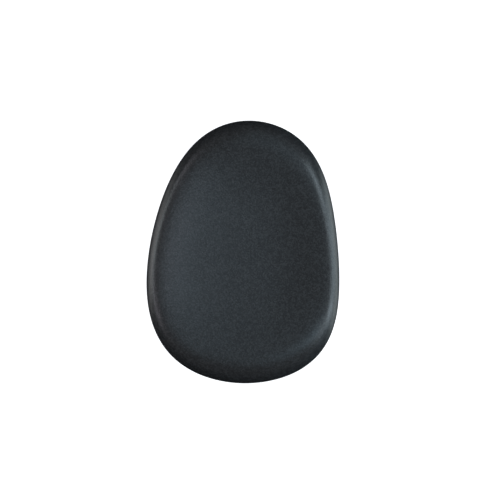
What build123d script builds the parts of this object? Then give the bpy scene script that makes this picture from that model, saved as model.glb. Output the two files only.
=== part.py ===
from build123d import *
import os
from bisect import bisect_left
from math import acos, atan2, cos, hypot, pi, radians, sin

# Basalt massage stone, in millimetres: one solid pebble, egg shaped in plan, with a nearly flat crown
# that breaks over a soft shoulder into steep flanks. It lies on a small flat ground into its underside.
# +Z is up and +Y runs towards the narrow nose. The origin is the centre of the plan, on the surface that
# the stone lies on.

# Overall size
length = 82.0  # nose to heel, along Y
width = 60.2  # widest place, along X
thickness = 19.0  # resting flat to crown
belly_height = 9.4  # height of the widest outline above the resting flat

# Plan outline: how the egg differs from an ellipse, as shares of half its width
nose_taper = 0.150  # narrows the nose and widens the heel
end_bluntness = 0.221  # fills the outline out at both ends
nose_lean = 0.048  # carries the nose to the right and the heel to the left
spine_bow = 0.089  # bows the spine to the left, so that the left flank is the flatter one
nose_flick = -0.027  # turns the tips of the nose and the heel back from that lean
tip_return = -0.051  # turns both tips back from the bow

# Upper side: a domed crown and a round flank, blended over the shoulder
crown_fullness = 3.3  # higher brings the shoulder nearer to the outline
left_fullness = 1.45  # how much nearer the shoulder is on the left than on the right
left_direction = radians(186)  # where that pull is strongest, counted from +X
side_fullness = 1.5  # how much nearer it is on both sides than at the nose and the heel
crown_dome = 0.325  # share of the rise that is left to the dome inside the shoulder
flank_rise = 1.37  # higher makes the flank steeper
shoulder_sharpness = 12.0  # higher makes the break from the crown to the flank tighter
crown_x, crown_y = 1.5, -0.3  # middle of the crown

# Underside: the same form with a softer shoulder, and with a flat ground on it
keel_fullness = 3.4
keel_dome = 0.45  # rounder than the crown
keel_rise = 1.25
keel_sharpness = 6.0
keel_x, keel_y = 0.8, -1.2  # middle of the keel
keel_ground = 0.15  # depth of stone ground off the keel for the resting flat

# How closely the sections describe the form
outline_points = 24
crown_steps = 14
keel_steps = 10
last_share = 0.12  # each face is level inside this share of the outline
turn_spacing = 6.0  # length of profile that a turn of one radian counts for in spreading the sections


def raw_outline(angle):
    """Point of the egg before it is brought to size.

    It is an ellipse whose half width varies along a bowed spine.
    """
    station = sin(angle)
    half_width = 1 - nose_taper * station + end_bluntness * station**2
    lean = nose_lean * station + nose_flick * station**3
    bow = spine_bow * station**2 + tip_return * station**4
    return half_width * cos(angle) + lean + bow, station


half_degrees = [raw_outline(radians(step / 2))[0] for step in range(720)]
middle_x = (max(half_degrees) + min(half_degrees)) / 2
half_x = (max(half_degrees) - min(half_degrees)) / 2


def outline(angle):
    """Point of the widest outline, centred on the origin and brought to the stone's width and length."""
    x, y = raw_outline(angle)
    return (x - middle_x) / half_x * width / 2, y * length / 2


def rise_share(openness, dome, rise, sharpness):
    """Share of a face's height that is reached where the openness has fallen from 1 at the belly.

    The flank grows as rise * sqrt(1 - openness) and the face as 1 - dome * openness. The lower of the
    two counts, and the sharpness says how tightly one turns into the other.
    """
    flank = rise * (1 - openness) ** 0.5
    face = 1 - dome * openness
    full = rise / (rise**sharpness + 1) ** (1 / sharpness)
    return flank * face / (flank**sharpness + face**sharpness) ** (1 / sharpness) / full


def edge_sections(count, depth, fullness, dome, rise, sharpness):
    """Distance from the belly and openness of the sections that round the edge over.

    They are spread along the profile of the stone's side by its length and by how far it turns, so that
    they stand closest together round the shoulder.
    """
    turns = [acos(last_share) * step / 400 for step in range(401)]
    opennesses = [cos(turn) ** fullness for turn in turns]
    heights = [depth * rise_share(openness, dome, rise, sharpness) for openness in opennesses]
    progress = [0.0]
    heading = pi / 2
    for turn, next_turn, height, next_height in zip(turns, turns[1:], heights, heights[1:]):
        inward = (cos(turn) - cos(next_turn)) * width / 2
        next_heading = atan2(next_height - height, inward)
        step_length = hypot(inward, next_height - height)
        progress.append(progress[-1] + step_length + turn_spacing * abs(heading - next_heading))
        heading = next_heading
    sections = []
    for number in range(1, count + 1):
        place = bisect_left(progress, progress[-1] * number / count * (1 - 1e-9))
        sections.append((depth * heights[place] / heights[-1], opennesses[place]))
    return sections


def section_points(openness, fullness, centre_x, centre_y, left=0.0, sides=0.0):
    """Points of a level section: the widest outline drawn in towards a centre.

    A fuller direction is drawn in less. The extra fullness fades out towards the middle of the face.
    """
    points = []
    for step in range(outline_points):
        angle = 2 * pi * step / outline_points
        x, y = outline(angle)
        extra = left * cos(angle - left_direction) + sides * cos(2 * angle)
        share = openness ** (1 / (fullness + extra * openness**0.5))
        points.append((centre_x + share * (x - centre_x), centre_y + share * (y - centre_y)))
    return points


levels = [(belly_height, section_points(1, crown_fullness, 0, 0))]
crown_form = (crown_fullness, crown_dome, flank_rise, shoulder_sharpness)
for rise, openness in edge_sections(crown_steps, thickness - belly_height, *crown_form):
    points = section_points(openness, crown_fullness, crown_x, crown_y, left_fullness, side_fullness)
    levels.append((belly_height + rise, points))
keel_form = (keel_fullness, keel_dome, keel_rise, keel_sharpness)
for drop, openness in edge_sections(keel_steps, belly_height + keel_ground, *keel_form):
    levels.insert(0, (belly_height - drop, section_points(openness, keel_fullness, keel_x, keel_y)))

with BuildPart() as basalt_stone:
    for height, points in levels:
        with BuildSketch(Plane.XY.offset(height)):
            with BuildLine():
                Spline(*points, periodic=True)
            make_face()
    loft()
    split(bisect_by=Plane.XY, keep=Keep.TOP)

basalt_stone.part.label = "basalt_stone"

os.makedirs("parts", exist_ok=True)
export_step(basalt_stone.part, "parts/basalt_stone.step")
print("volume", round(basalt_stone.part.volume / 1000, 2), "cm3")
print("bounding box", basalt_stone.part.bounding_box())
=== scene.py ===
# %% [markdown]
# # A basalt massage stone
# A hot stone therapist warms pebbles of dense basalt in water and glides them over the back. The real thing
# is one piece of rock, tumbled and then honed until the hand feels no grain. There is nothing to put
# together, so the whole likeness rests on two things: a form that is right from every side, and a skin that
# looks like stone.
#
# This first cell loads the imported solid. It says how long, wide and thick the stone is, and those three
# measures are read from it and never typed again. Blender's unit is the metre.

import bpy
import numpy as np
from mathutils import Matrix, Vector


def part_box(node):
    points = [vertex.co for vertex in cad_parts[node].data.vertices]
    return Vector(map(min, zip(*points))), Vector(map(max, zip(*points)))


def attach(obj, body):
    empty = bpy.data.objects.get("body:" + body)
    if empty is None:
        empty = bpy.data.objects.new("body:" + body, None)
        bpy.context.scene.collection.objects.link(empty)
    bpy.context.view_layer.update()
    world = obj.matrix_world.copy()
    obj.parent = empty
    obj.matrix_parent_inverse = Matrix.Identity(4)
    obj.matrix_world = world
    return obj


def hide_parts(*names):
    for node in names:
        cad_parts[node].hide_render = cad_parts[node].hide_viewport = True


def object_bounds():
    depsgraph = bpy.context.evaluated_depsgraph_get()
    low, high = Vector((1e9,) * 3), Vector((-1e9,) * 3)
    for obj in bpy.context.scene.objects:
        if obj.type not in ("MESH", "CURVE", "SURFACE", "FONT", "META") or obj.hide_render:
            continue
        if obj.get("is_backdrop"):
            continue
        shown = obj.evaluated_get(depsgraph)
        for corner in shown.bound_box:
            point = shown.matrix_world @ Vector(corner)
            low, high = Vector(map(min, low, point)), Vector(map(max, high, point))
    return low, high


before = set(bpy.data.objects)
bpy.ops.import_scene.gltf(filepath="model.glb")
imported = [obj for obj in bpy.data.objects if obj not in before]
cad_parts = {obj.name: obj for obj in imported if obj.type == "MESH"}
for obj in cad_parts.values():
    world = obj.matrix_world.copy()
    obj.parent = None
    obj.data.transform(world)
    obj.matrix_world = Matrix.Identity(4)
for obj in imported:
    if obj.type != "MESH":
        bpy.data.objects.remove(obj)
cad_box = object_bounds()
low, high = (np.array(corner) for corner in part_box("basalt_stone"))
mm = 0.001
half_width, half_length = (high[:2] - low[:2]) / 2
thickness = high[2] - low[2]
print("stone, mm:", ((high - low) / mm).round(2))

# %% [markdown]
# ## The plan outline
# Seen from above, the stone is an egg with a lopsided lean. A designer could trace it with a Bezier curve,
# but a formula is easier to steer and gives any number of points. It starts as an ellipse. A taper narrows
# the nose and widens the heel, a bluntness fills out both ends, and the spine that the half width is
# measured from leans and bows.
#
# These six numbers weren't chosen by eye. A least squares fit to a measured outline found them, and they
# were then rounded.

# %% The egg's outline
nose_taper = 0.150
end_bluntness = 0.221
spine_bends = (0.048, 0.089, -0.027, -0.051)  # lean, bow, and how the two tips turn back from them


def plan_outline(angle):
    """Widest outline, before it is brought to size: y = s = sin(angle), and x is a spine plus a half width.

    The half width is cos(angle) * (1 - taper * s + bluntness * s**2), and the spine is the sum of
    bend * s**power with powers 1 to 4.
    """
    s = np.sin(angle)
    spine = sum(bend * s ** (power + 1) for power, bend in enumerate(spine_bends))
    return np.cos(angle) * (1 - nose_taper * s + end_bluntness * s**2) + spine, s


fine_angles = np.linspace(0, 2 * np.pi, 1440, endpoint=False)  # a quarter of a degree apart
rough_x = plan_outline(fine_angles)[0]
middle_x = (rough_x.max() + rough_x.min()) / 2
reach_x = (rough_x.max() - rough_x.min()) / 2
print("the raw egg reaches", reach_x.round(3), "either side of", middle_x.round(3))

# %% [markdown]
# ## From the belly to the two faces
# A tumbled pebble is widest at its belly. From there a round flank climbs to a shoulder, and the shoulder
# turns over into a face that is nearly flat. Two simple curves say this: the flank grows as a square root,
# the face is a low dome, and the stone follows the lower of the two. A blend with a sharpness makes one
# turn softly into the other.
#
# A subdivision cage could also make a pebble, but its shoulder can't be tuned by a number, and here the
# shoulder is what catches the light. The underside, here called the keel, is the same form with softer
# numbers.
#
# A fuller face brings the shoulder nearer to the outline. The left and sides values bring it nearer still
# in those directions. The dome is the share of the rise that is left inside the shoulder, the rise makes
# the flank steep, and the sharpness makes the shoulder tight.
#
# The crown's numbers came from a fit that solved for the form and the lamps together, and were rounded.
# Another form under other lamps can look much the same from above, so this one is likely and not measured.

# %% The two faces in numbers
belly_height = 9.4 * mm
crown = {"fullness": 3.3, "left": 1.45, "sides": 1.5, "dome": 0.325, "rise": 1.37, "sharpness": 12.0}
keel = {"fullness": 3.4, "left": 0.0, "sides": 0.0, "dome": 0.45, "rise": 1.25, "sharpness": 6.0}
crown_middle = np.array([1.5, -0.3]) * mm
keel_middle = np.array([0.8, -1.2]) * mm
left_direction = np.radians(186)  # where the shoulder is pulled nearest to the outline
keel_ground = 0.15 * mm  # depth of stone ground off the keel for the resting flat
print("belly to crown, mm:", ((thickness - belly_height) / mm).round(2))

# %% A section's height and its points
segments = 384
angle = np.linspace(0, 2 * np.pi, segments, endpoint=False)


def rise_share(openness, face):
    """Share of a face's height at a section whose openness is 1 at the belly and 0 at the face's middle.

    The flank is rise * sqrt(1 - openness), the dome is 1 - dome * openness, and their blend is
    flank * dome / (flank**sharpness + dome**sharpness) ** (1 / sharpness), brought to 1 at the middle.
    """
    sharpness = face["sharpness"]
    flank = face["rise"] * np.sqrt(1 - openness)
    dome = 1 - face["dome"] * openness
    full = face["rise"] / (face["rise"] ** sharpness + 1) ** (1 / sharpness)
    return flank * dome / (flank**sharpness + dome**sharpness) ** (1 / sharpness) / full


def level_rows(openness, height, face, middle):
    """Rows of points, one row for each openness: the outline drawn in towards the face's middle.

    The share that stays is openness ** (1 / (fullness + extra * sqrt(openness))). The extra is larger on
    the left and on both sides, where the shoulder stands nearer to the outline.
    """
    x, y = plan_outline(angle)
    outline = np.stack([(x - middle_x) / reach_x * half_width, y * half_length], axis=-1)
    extra = face["left"] * np.cos(angle - left_direction) + face["sides"] * np.cos(2 * angle)
    openness = openness[:, None]
    share = openness ** (1 / (face["fullness"] + extra * np.sqrt(openness)))
    level = middle + share[..., None] * (outline - middle)
    return np.concatenate([level, np.broadcast_to(height[:, None, None], share.shape + (1,))], axis=-1)


print("points in a row:", segments)

# %% [markdown]
# ## Where the rows lie
# Rows that are evenly spaced in height would leave a nearly flat crown with hardly any. So each row stands
# for an equal turn from the belly towards the face's middle, and its openness is the cosine of that turn
# raised to the face's fullness. The keel's rows stop at the turn where the stone meets the table. A table
# of trial turns, read backwards, finds it, and a few level rows close the resting flat.

# %% Rows of the crown, the keel and the resting flat
crown_rows, keel_rows, flat_rows = 150, 80, 10
right_angle = np.pi / 2
crown_turns = np.linspace(0, right_angle, crown_rows, endpoint=False)[::-1]
crown_open = np.cos(crown_turns) ** crown["fullness"]
crown_height = belly_height + (thickness - belly_height) * rise_share(crown_open, crown)

keel_depth = belly_height + keel_ground
trial_turns = np.linspace(0, right_angle, 4000)
trial_drops = rise_share(np.cos(trial_turns) ** keel["fullness"], keel)
resting_turn = np.interp(belly_height / keel_depth, trial_drops, trial_turns)
keel_open = np.cos(resting_turn * np.arange(1, keel_rows + 1) / keel_rows) ** keel["fullness"]
keel_height = belly_height - keel_depth * rise_share(keel_open, keel)

flat_open = keel_open[-1] * (np.arange(flat_rows, 0, -1) / (flat_rows + 1)) ** keel["fullness"]
flat_height = np.zeros(flat_rows)
print("rows:", crown_rows, keel_rows, flat_rows)
print("the resting flat starts at this share of the outline:", np.cos(resting_turn).round(3))

# %% [markdown]
# ## The hand of the tumbler
# Water and grit never leave a perfect solid. The real skin swells and dips by less than a tenth of a
# millimetre over distances of several millimetres, which the eye only sees as a slow change in the sheen.
# Noise on a lattice makes it: random values at the corners of small cubes, blended smoothly between them.
# The dips only go inwards, so the stone never grows past its solid, and they fade out at the resting flat,
# which stays true.

# %% Noise on a lattice
lattice_size = 24


def lattice_noise(points, spacing, seed):
    """Smooth noise from 0 to 1: random values at the corners of cubes that are one spacing wide.

    Along each edge of a cube they are blended by 3 * f**2 - 2 * f**3, with f the share of the edge passed.
    """
    corners = np.random.default_rng(seed).random((lattice_size, lattice_size, lattice_size))
    place = points / spacing
    cell = np.floor(place).astype(int)
    blend = place - cell
    blend = blend * blend * (3 - 2 * blend)
    total = 0
    for corner in np.ndindex(2, 2, 2):
        weight = np.prod(np.where(corner, blend, 1 - blend), axis=-1)
        i, j, k = np.moveaxis((cell + corner) % lattice_size, -1, 0)
        total = total + weight * corners[i, j, k]
    return total


print("noise repeats after this many cubes:", lattice_size)

# %% Slow dips in the skin
# the spacing, the depth and the seed of each layer of dips
dips = (
    (11.0 * mm, 0.070 * mm, 11),
    (5.0 * mm, 0.022 * mm, 12),
    (2.4 * mm, 0.006 * mm, 13),
)
flat_fade = 1.2 * mm  # height over which the dips come in above the table


def grid_normals(rows):
    """Outward normals of a band of rows: the step down the rows crossed with the step along a row."""
    along = np.roll(rows, -1, axis=1) - np.roll(rows, 1, axis=1)
    down = np.gradient(rows, axis=0)
    normal = np.cross(down, along)
    return normal / np.linalg.norm(normal, axis=-1, keepdims=True)


rows = np.concatenate([
    level_rows(crown_open, crown_height, crown, crown_middle),
    level_rows(keel_open, keel_height, keel, keel_middle),
    level_rows(flat_open, flat_height, keel, keel_middle),
])
dip = sum(depth * lattice_noise(rows, spacing, seed) for spacing, depth, seed in dips)
dip = dip * np.clip(rows[..., 2] / flat_fade, 0, 1)
rows = rows - grid_normals(rows) * dip[..., None]
print("deepest dip, mm:", (dip.max() / mm).round(3))

# %% [markdown]
# ## One closed skin
# The rows become a mesh: quads between neighbouring rows, and a fan of triangles that closes each face at
# its middle. The order of the corners makes every face point outwards, which the volume's sign proves.

# %% Build the stone


def closed_skin(name, rows):
    """A mesh from rows of points: quads join row to row, and a fan closes each end at its row's middle."""
    count, around = rows.shape[:2]
    top, foot = count * around, count * around + 1
    points = np.concatenate([rows.reshape(-1, 3), [rows[0].mean(axis=0)], [rows[-1].mean(axis=0)]])
    index = np.arange(count * around).reshape(count, around)
    ahead = np.roll(index, -1, axis=1)
    quads = np.stack([index[:-1], index[1:], ahead[1:], ahead[:-1]], axis=-1).reshape(-1, 4)
    crown_fan = np.stack([np.full(around, top), index[0], ahead[0]], axis=-1)
    foot_fan = np.stack([np.full(around, foot), ahead[-1], index[-1]], axis=-1)
    mesh = bpy.data.meshes.new(name)
    mesh.from_pydata(points, [], [*quads.tolist(), *crown_fan.tolist(), *foot_fan.tolist()])
    mesh.polygons.foreach_set("use_smooth", np.ones(len(mesh.polygons), dtype=bool))
    mesh.update()
    return mesh


skin = closed_skin("honed_basalt_stone", rows)
stone = bpy.data.objects.new("honed_basalt_stone", skin)
bpy.context.scene.collection.objects.link(stone)
print("corners:", len(skin.vertices), "faces:", len(skin.polygons))

# %% Measure the skin
# The volume is a sixth of the sum of a . (b x c) over all triangles, and above 0 if they face outwards.
cubic_cm = 1e-6
points = np.empty(len(skin.vertices) * 3)
skin.vertices.foreach_get("co", points)
skin.calc_loop_triangles()
triangles = np.empty(len(skin.loop_triangles) * 3, dtype=int)
skin.loop_triangles.foreach_get("vertices", triangles)
a, b, c = points.reshape(-1, 3)[triangles.reshape(-1, 3)].transpose(1, 0, 2)
volume = (a * np.cross(b, c)).sum() / 6
print("triangles:", len(a), "volume, cm3:", (volume / cubic_cm).round(2))

# %% [markdown]
# ## Shader maths in plain Python
# A material is a network of small nodes. Wiring each sum by hand hides what it says, so a `Wire` wraps a
# socket and adds the Math node that an operator asks for: `1 - mask` and `depth * mask` read as they would
# on paper. `Finish` holds the tree of a material or of the room around the stone, and one method adds any
# other node to it.

# %% Wires and finishes


class Wire:
    """A number that travels through a material. Arithmetic on it adds Math nodes to the tree."""

    def __init__(self, finish, socket):
        self.finish, self.socket = finish, socket

    def maths(self, operation, *numbers):
        return self.finish.add("ShaderNodeMath", {"operation": operation}, dict(enumerate(numbers)))

    def __abs__(self):
        return self.maths("ABSOLUTE", self)

    def __add__(self, other):
        return self.maths("ADD", self, other)

    def __sub__(self, other):
        return self.maths("SUBTRACT", self, other)

    def __rsub__(self, other):
        return self.maths("SUBTRACT", other, self)

    def __mul__(self, other):
        return self.maths("MULTIPLY", self, other)

    __radd__, __rmul__ = __add__, __mul__


class Finish:
    """The node tree of a material or a world, emptied so that it can be filled from nothing."""

    def __init__(self, owner):
        owner.use_nodes = True
        self.owner, self.tree = owner, owner.node_tree
        self.tree.nodes.clear()

    def add(self, kind, settings=None, sockets=None, output=0):
        """Adds a node: its settings first, then its sockets, each a value or a wire.

        It returns the wire from the output that is asked for, or the node where there is none.
        """
        node = self.tree.nodes.new(kind)
        for name, value in (settings or {}).items():
            setattr(node, name, value)
        for name, value in (sockets or {}).items():
            if isinstance(value, Wire):
                self.tree.links.new(value.socket, node.inputs[name])
            else:
                node.inputs[name].default_value = value
        return Wire(self, node.outputs[output]) if node.outputs else node

    def ramp(self, value, start, end):
        """0 below start, 1 above end, and an eased climb between them."""
        sockets = {"Value": value, "From Min": start, "From Max": end}
        return self.add("ShaderNodeMapRange", {"interpolation_type": "SMOOTHSTEP"}, sockets)

    def mix(self, share, first, second):
        """Blends two colours: the first at share 0, the second at share 1."""
        sockets = {"Factor": share, 6: first, 7: second}
        return self.add("ShaderNodeMix", {"data_type": "RGBA"}, sockets, output=2)


def colour(red, green, blue):
    """An opaque colour from three linear values."""
    return (red, green, blue, 1.0)


print("operators of a wire: + - * and abs")

# %% [markdown]
# ## Honed basalt
# Basalt is nearly black: a dark groundmass with slivers of paler feldspar, each well under a millimetre.
# Honing leaves it satin, so a lamp shows as a broad soft glow and never as a mirror image. A picture of
# stone could be wrapped round the pebble, but it would stretch at the shoulder and show its seam. Patterns
# worked out in space have neither fault: the pebble is cut out of them, as the real one was worn out of its
# rock. They read Object coordinates, so they stay fixed in the stone.

# %% Patterns in space
finish = Finish(bpy.data.materials.new("honed_basalt"))
place = finish.add("ShaderNodeTexCoord", output="Object")


def noise(spacing, detail=2.0, roughness=0.5):
    """Noise from 0 to 1 whose features are about one spacing apart."""
    sockets = {"Vector": place, "Scale": 1 / spacing, "Detail": detail, "Roughness": roughness}
    return finish.add("ShaderNodeTexNoise", {}, sockets, output="Fac")


def cells(spacing, output):
    """Cells about one spacing wide: their random colour, or the distance to the seed in spacings."""
    sockets = {"Vector": place, "Scale": 1 / spacing, "Randomness": 1.0}
    return finish.add("ShaderNodeTexVoronoi", {}, sockets, output=output)


grain = noise(0.55 * mm, roughness=0.6)
drift = noise(14 * mm, detail=3.0)
cloud = noise(4.5 * mm)
height = finish.add("ShaderNodeSeparateXYZ", {}, {"Vector": place}, output="Z")
print("patterns so far:", len(finish.tree.nodes), "nodes")

# %% [markdown]
# ### Tone
# Every crystal takes one random tone, and the palest are the feldspar. The groundmass between them is
# mottled by the grain. Gas bubbles have left a few pin-prick pores, gathered in patches. Their black is
# painted shade: the tiny holes swallow light, and the colour stands in for the shade inside them. The
# resting flat is scuffed a little lighter by the things it was put down on.

# %% Crystals, pores and scuffs
dark, light = colour(0.013, 0.013, 0.014), colour(0.024, 0.025, 0.026)
pale_crystal = colour(0.049, 0.050, 0.051)
# painted shade: the near-black that stands for the shade inside each pore
pore_painted_shade = colour(0.004, 0.004, 0.004)
scuffed_grey = colour(0.075, 0.074, 0.072)

crystal = finish.add("ShaderNodeSeparateColor", {}, {"Color": cells(0.36 * mm, "Color")}, output=0)
feldspar = finish.ramp(crystal, 0.3, 1.0)
groundmass = finish.mix(finish.ramp(grain, 0.3, 0.7), dark, light)
rock = finish.mix(feldspar * 0.8, groundmass, pale_crystal)

pore_field = finish.ramp(noise(6 * mm), 0.56, 0.66)
pores = (1 - finish.ramp(cells(2.4 * mm, "Distance"), 0.04, 0.08)) * pore_field
# paints the pores with their painted shade, a black darker than any tone of the rock
rock = finish.mix(pores * 0.6, rock, pore_painted_shade)

near_flat = 1 - finish.ramp(height, 0.02 * mm, 0.5 * mm)
scuffed = near_flat * finish.ramp(noise(0.9 * mm, detail=4.0), 0.42, 0.68)
rock = finish.mix(scuffed * 0.5, rock, scuffed_grey)
print("with tone:", len(finish.tree.nodes), "nodes")

# %% [markdown]
# ### Sheen and relief
# One roughness all over is what gives plastic away. Here the polish drifts from patch to patch, the band
# round the belly is a little duller because the stones knocked against each other there, and pores and
# scuffs are duller still. The grain also stands in relief by a few hundredths of a millimetre, and that
# breaks the sheen up into the fine sparkle of honed rock.

# %% Sheen and relief
honed = 0.325  # roughness where nothing else is said
tumbled = 1 - finish.ramp(abs(height - belly_height) + (cloud - 0.5) * mm, 2.2 * mm, 4.0 * mm)
sheen = honed + 0.06 * (drift - 0.5) + 0.05 * (cloud - 0.5) + 0.10 * (grain - 0.5)
sheen = sheen + 0.04 * tumbled + 0.20 * pores + 0.18 * scuffed

relief = grain * 0.07 + feldspar * 0.002 - pores * 0.02  # in millimetres
bump_sockets = {"Strength": 1.0, "Distance": mm, "Height": relief}
bump = finish.add("ShaderNodeBump", {}, bump_sockets, output="Normal")

shader = finish.add("ShaderNodeBsdfPrincipled", {}, {
    "Base Color": rock,
    "Roughness": sheen,
    "Normal": bump,
    "IOR": 1.5,
})
finish.add("ShaderNodeOutputMaterial", {}, {"Surface": shader})
print("finished:", len(finish.tree.nodes), "nodes")

# %% Put the finish on the stone
skin.materials.append(finish.owner)
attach(stone, "root")
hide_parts("basalt_stone")
print(stone.name, "wears", skin.materials[0].name)

# %% [markdown]
# ## The lamps
# Dark satin stone shows little colour of its own: it is drawn by what it reflects. In a studio that means
# soft boxes all round. Strips level with the stone, left and right, draw the bright band along each flank.
# Boxes above them catch the shoulder from nose to heel, and the ones on the left reach over the crown,
# which fades towards the right. Two dim boxes below the horizon stand for the light that a pale table
# throws on the undercut. Nothing bright stands behind the nose or the heel, so both ends fall away into
# shadow. One picture of a studio wrapped round the scene could do all this, but then no lamp could be moved
# alone.
#
# Sixteen lamps are more than a studio would set up, and they weren't thought up one by one. Forty candidates
# were rendered alone, a solver weighed them and dropped those that did least, and the rest were adjusted
# and rounded. To learn lighting, start with four or five boxes set by eye.

# %% A soft box
scene = bpy.context.scene
centre = np.array([0.0, 0.0, belly_height])
lamp_distance = 0.6


def soft_box(name, zenith, azimuth, tall, wide, radiance, tint):
    """A rectangular lamp that faces the stone. Zenith and azimuth say where, tall and wide its half size.

    All four are degrees as seen from the stone. Its power is radiance * pi * area.
    """
    down, around = np.radians(zenith), np.radians(azimuth)
    away = np.array([np.sin(down) * np.cos(around), np.sin(down) * np.sin(around), np.cos(down)])
    along = np.array([np.cos(down) * np.cos(around), np.cos(down) * np.sin(around), -np.sin(down)])
    across = np.array([-np.sin(around), np.cos(around), 0.0])
    lamp = bpy.data.lights.new(name, "AREA")
    lamp.shape = "RECTANGLE"
    lamp.size = 2 * lamp_distance * np.tan(np.radians(tall))
    lamp.size_y = 2 * lamp_distance * np.tan(np.radians(wide))
    lamp.energy = radiance * np.pi * lamp.size * lamp.size_y
    lamp.color = tint
    holder = bpy.data.objects.new(name, lamp)
    turn = Matrix(np.column_stack([along, across, away]).tolist()).to_4x4()
    turn.translation = centre + lamp_distance * away
    holder.matrix_world = turn
    holder.visible_camera = False
    scene.collection.objects.link(holder)


print("lamps stand this far away, m:", lamp_distance)

# %% Lamps all round the stone
daylight = (0.74, 0.90, 1.00)
shade = (0.60, 0.84, 1.00)
pale = (0.85, 0.97, 1.00)
neutral = (0.97, 0.99, 1.00)
dusk = (0.95, 0.88, 1.00)
# name, zenith, azimuth, tall, wide, radiance and tint of each lamp
lamps = (
    ("overhead", 20, 172, 4, 5, 2.7, dusk),
    ("overhead_wide", 15, 172, 12, 16, 1.45, shade),
    ("overhead_heel", 25, 254, 6, 6, 1.5, shade),
    ("left_strip", 97, 174, 16, 14, 2.0, neutral),
    ("left_low", 126, 172, 10, 18, 0.7, neutral),
    ("left_nose", 66, 142, 12, 6, 1.5, dusk),
    ("left_heel", 66, 196, 14, 6, 2.3, dusk),
    ("left_face", 74, 169, 8, 16, 2.7, pale),
    ("right_strip", 90, 345, 16, 6, 5.4, daylight),
    ("right_edge", 100, 6, 14, 10, 2.8, daylight),
    ("right_low", 127, 1, 10, 20, 1.5, pale),
    ("right_nose", 74, 24, 10, 14, 4.4, daylight),
    ("right_heel", 72, 329, 16, 6, 3.0, daylight),
    ("right_heel_high", 50, 322, 10, 6, 2.7, shade),
    ("heel_wash", 43, 299, 8, 12, 1.3, shade),
    ("nose_wash", 51, 55, 20, 25, 0.5, shade),
)
for lamp in lamps:
    soft_box(*lamp)
print("lamps:", len(lamps))

# %% [markdown]
# ## The room and the table
# The room adds a dim light from all sides and above, which keeps the darkest parts from going black.
# It fades out below the horizon, where a real stone would see its own shadow on the table.
#
# The table is a white glowing one, as for catalogue work. Only the camera sees it, so it throws no light
# into the stone from below.

# %% The room's own light
room = Finish(bpy.data.worlds.new("room"))
direction = room.add("ShaderNodeTexCoord", output="Generated")
upward = room.add("ShaderNodeSeparateXYZ", {}, {"Vector": direction}, output="Z")
full_strength = 0.18
room_strength = full_strength * room.ramp(upward, -0.2, 0.2)
room_sockets = {"Color": colour(1.0, 0.97, 0.98), "Strength": room_strength}
room_light = room.add("ShaderNodeBackground", {}, room_sockets)
room.add("ShaderNodeOutputWorld", {}, {"Surface": room_light})
scene.world = room.owner
print("room:", len(room.tree.nodes), "nodes")

# %% The glowing table
table_half = 3.0
table_mesh = bpy.data.meshes.new("table")
table_corners = [(x * table_half, y * table_half, 0) for x, y in ((-1, -1), (1, -1), (1, 1), (-1, 1))]
table_mesh.from_pydata(table_corners, [], [(0, 1, 2, 3)])
table = bpy.data.objects.new("table", table_mesh)
scene.collection.objects.link(table)
glow = Finish(bpy.data.materials.new("glowing_table"))
glow_shader = glow.add("ShaderNodeBsdfPrincipled", {}, {
    "Base Color": colour(0.8, 0.8, 0.8),
    "Roughness": 0.9,
    "Emission Color": colour(1, 1, 1),
    "Emission Strength": 0.98,
})
glow.add("ShaderNodeOutputMaterial", {}, {"Surface": glow_shader})
table_mesh.materials.append(glow.owner)
table.visible_glossy = table.visible_diffuse = table.visible_shadow = False
table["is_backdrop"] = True
print("table, m:", 2 * table_half, "square")

# %% [markdown]
# ## The camera
# It hangs straight above the stone, far away behind a long lens, so that the plan hardly bends in
# perspective.

# %% Camera
frame_width = 155.8 * mm  # width of the view at the height of the belly
camera_distance = 0.9
aim_x, aim_y = 2.2 * mm, 0.6 * mm
camera = bpy.data.cameras.new("camera")
camera.sensor_width = 36
camera.lens = camera.sensor_width * camera_distance / frame_width
camera.clip_end = 20
viewer = bpy.data.objects.new("camera", camera)
viewer.location = (aim_x, aim_y, belly_height + camera_distance)
scene.collection.objects.link(viewer)
scene.camera = viewer
scene.view_settings.view_transform = "Standard"
print("lens, mm:", round(camera.lens, 1))

# %% [markdown]
# ## Sizes
# A likeness is only useful if it is as large as the solid it stands for. Both boxes are written down side
# by side, so that they can be compared after every change.

# %% Compare the boxes
boxes = {"cad": cad_box, "visual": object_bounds()}
for name, box in boxes.items():
    print(name, "box, mm:", [[round(value / mm, 3) for value in corner] for corner in box])
